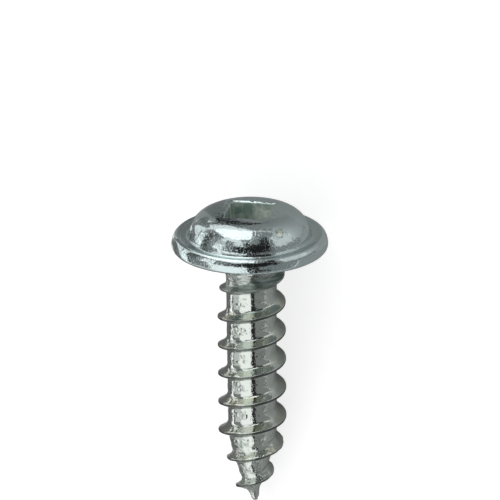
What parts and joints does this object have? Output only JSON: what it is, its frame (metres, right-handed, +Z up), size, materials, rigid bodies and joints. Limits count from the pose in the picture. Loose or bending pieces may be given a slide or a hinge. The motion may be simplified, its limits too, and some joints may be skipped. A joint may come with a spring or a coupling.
{
  "type": "wafer head screw",
  "caption": "Pointed screw with a domed head on a wide round flange, a square recess and a coarse right-hand thread.",
  "frame": {"origin": "on the floor under the centre of the box of the screw as it lies on its side", "axes": "+Z up, +Y towards the head, +X to the right seen from above with the head up; the screw's own axis slopes up 12 degrees towards the head"},
  "size_m": [0.0108, 0.0218, 0.0107],
  "materials": {
    "zinc_plate": "bright zinc plating over rolled steel, glossy with fine grain, dull where the dies rubbed"
  },
  "bodies": {
    "root": {"wafer_head_screw": "zinc_plate"}
  },
  "joints": []
}
